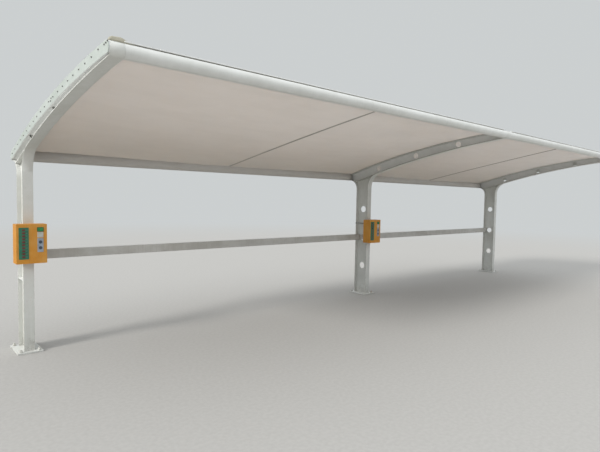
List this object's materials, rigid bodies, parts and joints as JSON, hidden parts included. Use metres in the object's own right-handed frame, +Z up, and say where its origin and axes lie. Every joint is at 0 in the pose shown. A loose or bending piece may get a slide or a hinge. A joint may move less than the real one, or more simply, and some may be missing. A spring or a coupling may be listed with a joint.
{
  "type": "bicycle shelter",
  "caption": "Cantilevered bike shelter: welded I-section frames with cellular webs carry a tensioned membrane roof between a front and a rear pipe, with a lower rail and charging cabinets.",
  "frame": {"origin": "centre of the underside of the middle frame's base plate", "axes": "+X along the shelter from the left frame to the right frame, seen from the open side; +Y from the open side to the back; +Z up"},
  "size_m": [10.205, 2.939, 2.6519],
  "materials": {
    "frame_white": "semi-gloss off-white paint, weathered",
    "clamp_white": "semi-gloss white paint",
    "membrane": "matt coated polyester, off-white",
    "cabinet_yellow": "semi-gloss yellow-orange powder coat",
    "panel_green": "matt green moulded panel",
    "strap_steel": "dull stainless strap"
  },
  "bodies": {
    "root": {"arm_web_left": "frame_white", "arm_web_middle": "frame_white", "arm_web_right": "frame_white", "cabinet_case_left": "cabinet_yellow", "cabinet_case_middle": "cabinet_yellow", "cabinet_door_left": "cabinet_yellow", "cabinet_door_middle": "cabinet_yellow", "cabinet_socket_panel_left": "panel_green", "cabinet_socket_panel_middle": "panel_green", "cabinet_strap_left": "strap_steel", "cabinet_strap_middle": "strap_steel", "channel_plate_left": "frame_white", "edge_clamp_left": "clamp_white", "edge_clamp_right": "clamp_white", "foot_left": "frame_white", "foot_middle": "frame_white", "foot_right": "frame_white", "front_flange_left": "frame_white", "front_flange_middle": "frame_white", "front_flange_right": "frame_white", "front_pipe_left": "frame_white", "front_pipe_right": "frame_white", "head_stiffener_left": "frame_white", "head_stiffener_middle": "frame_white", "head_stiffener_right": "frame_white", "lower_rail_left": "frame_white", "lower_rail_right": "frame_white", "membrane_left": "membrane", "membrane_right": "membrane", "post_web_left": "frame_white", "post_web_middle": "frame_white", "post_web_right": "frame_white", "rear_flange_left": "frame_white", "rear_flange_middle": "frame_white", "rear_flange_right": "frame_white", "rear_pipe_left": "frame_white", "rear_pipe_right": "frame_white", "ridge_clamp_middle": "clamp_white", "top_plate_left": "frame_white", "top_plate_middle": "frame_white", "top_plate_right": "frame_white"}
  },
  "joints": []
}
